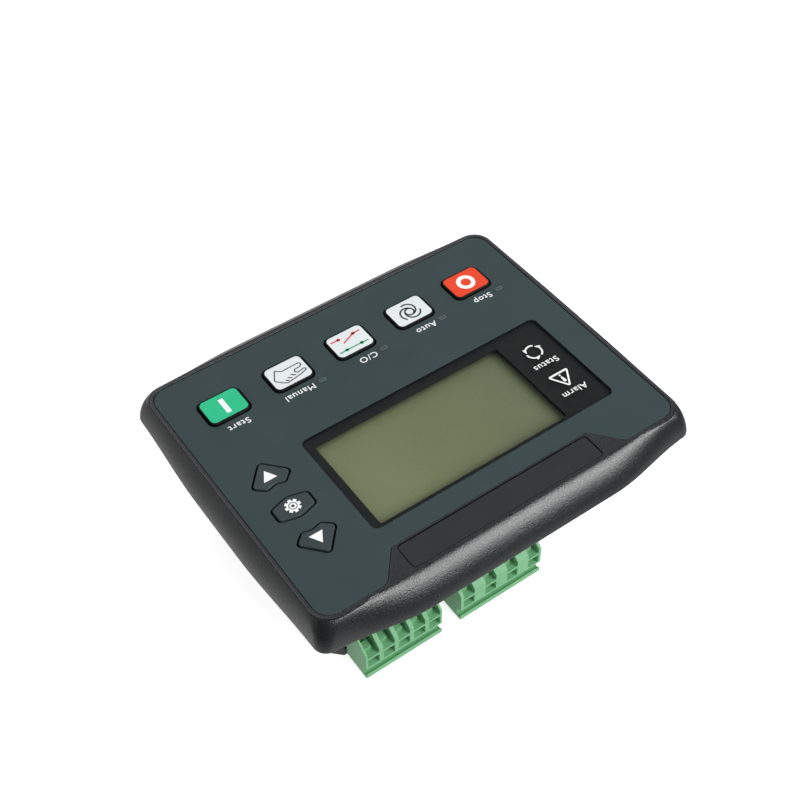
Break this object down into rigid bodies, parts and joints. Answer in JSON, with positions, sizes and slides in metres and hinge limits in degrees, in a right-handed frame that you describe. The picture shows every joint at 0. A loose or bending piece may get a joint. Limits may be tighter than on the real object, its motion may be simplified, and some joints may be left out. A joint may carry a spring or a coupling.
{
  "type": "genset controller",
  "caption": "Panel-mounted generator controller with bowed black bezel, LCD window, sprung main and navigation keys, rear case with vents and green pluggable terminal blocks.",
  "frame": {"origin": "on the rear face, under the middle of the bezel", "axes": "+Z out of the face, +Y towards the upper edge of the face, +X to the reader's right"},
  "size_m": [0.1282, 0.1076, 0.0426],
  "materials": {
    "bezel": "black moulding with a fine spark texture",
    "face_sheet": "matt slate printed polyester sheet",
    "nameplate": "plain satin black",
    "lens": "smooth, with a printed black border",
    "frame_steel": "plated sheet",
    "lcd": "grey-green reflective display",
    "light_guide": "white acrylic",
    "mat_rubber": "matt moulded rubber",
    "key_red": "printed silicone",
    "key_white": "printed silicone",
    "key_green": "printed silicone",
    "key_dark": "printed silicone",
    "lamp": "smoked light pipe",
    "board": "green solder mask",
    "screw_steel": "zinc plated",
    "board_plastic": "moulded black",
    "relay": "moulded blue",
    "capacitor": "black sleeve",
    "inductor": "ferrite core",
    "rear_case": "black moulding",
    "terminal_green": "moulded green polyamide"
  },
  "bodies": {
    "case": {"front_bezel": "bezel", "face_panel": "face_sheet", "nameplate": "nameplate", "display_lens": "lens", "display_frame": "frame_steel", "display_glass": "lcd", "display_backlight": "light_guide", "keypad_mat": "mat_rubber", "stop_lamp": "lamp", "auto_lamp": "lamp", "changeover_lamp": "lamp", "manual_lamp": "lamp", "alarm_lamp": "lamp", "status_lamp": "lamp", "display_board": "board", "board_screw_1": "screw_steel", "board_screw_2": "screw_steel", "board_screw_3": "screw_steel", "board_screw_4": "screw_steel", "main_board": "board", "main_board_screw_1": "screw_steel", "main_board_screw_2": "screw_steel", "main_board_screw_3": "screw_steel", "main_board_screw_4": "screw_steel", "board_header": "board_plastic", "processor": "board_plastic", "relay_1": "relay", "relay_2": "relay", "relay_3": "relay", "relay_4": "relay", "relay_5": "relay", "capacitor_1": "capacitor", "capacitor_2": "capacitor", "inductor": "inductor", "current_transformer_1": "relay", "current_transformer_2": "relay", "current_transformer_3": "relay", "rear_shell": "rear_case", "panel_gasket": "mat_rubber", "case_screw_1": "screw_steel", "case_screw_2": "screw_steel", "case_screw_3": "screw_steel", "case_screw_4": "screw_steel", "upper_right_header": "terminal_green", "upper_right_plug": "terminal_green", "upper_middle_header": "terminal_green", "upper_middle_plug": "terminal_green", "lower_left_header": "terminal_green", "lower_left_plug": "terminal_green", "lower_right_header": "terminal_green", "lower_right_plug": "terminal_green"},
    "stop": {"stop_key": "key_red"},
    "auto": {"auto_key": "key_white"},
    "changeover": {"changeover_key": "key_white"},
    "manual": {"manual_key": "key_white"},
    "start": {"start_key": "key_green"},
    "up": {"up_key": "key_dark"},
    "set": {"set_key": "key_dark"},
    "down": {"down_key": "key_dark"}
  },
  "joints": [
    {"name": "stop_press", "type": "slide", "parent": "case", "child": "stop", "axis": [0, 0, -1], "range_m": [0, 0.0008], "stiffness_N_per_m": 1500},
    {"name": "auto_press", "type": "slide", "parent": "case", "child": "auto", "axis": [0, 0, -1], "range_m": [0, 0.0008], "stiffness_N_per_m": 1500},
    {"name": "changeover_press", "type": "slide", "parent": "case", "child": "changeover", "axis": [0, 0, -1], "range_m": [0, 0.0008], "stiffness_N_per_m": 1500},
    {"name": "manual_press", "type": "slide", "parent": "case", "child": "manual", "axis": [0, 0, -1], "range_m": [0, 0.0008], "stiffness_N_per_m": 1500},
    {"name": "start_press", "type": "slide", "parent": "case", "child": "start", "axis": [0, 0, -1], "range_m": [0, 0.0008], "stiffness_N_per_m": 1500},
    {"name": "up_press", "type": "slide", "parent": "case", "child": "up", "axis": [0, 0, -1], "range_m": [0, 0.0008], "stiffness_N_per_m": 1500},
    {"name": "set_press", "type": "slide", "parent": "case", "child": "set", "axis": [0, 0, -1], "range_m": [0, 0.0008], "stiffness_N_per_m": 1500},
    {"name": "down_press", "type": "slide", "parent": "case", "child": "down", "axis": [0, 0, -1], "range_m": [0, 0.0008], "stiffness_N_per_m": 1500}
  ]
}
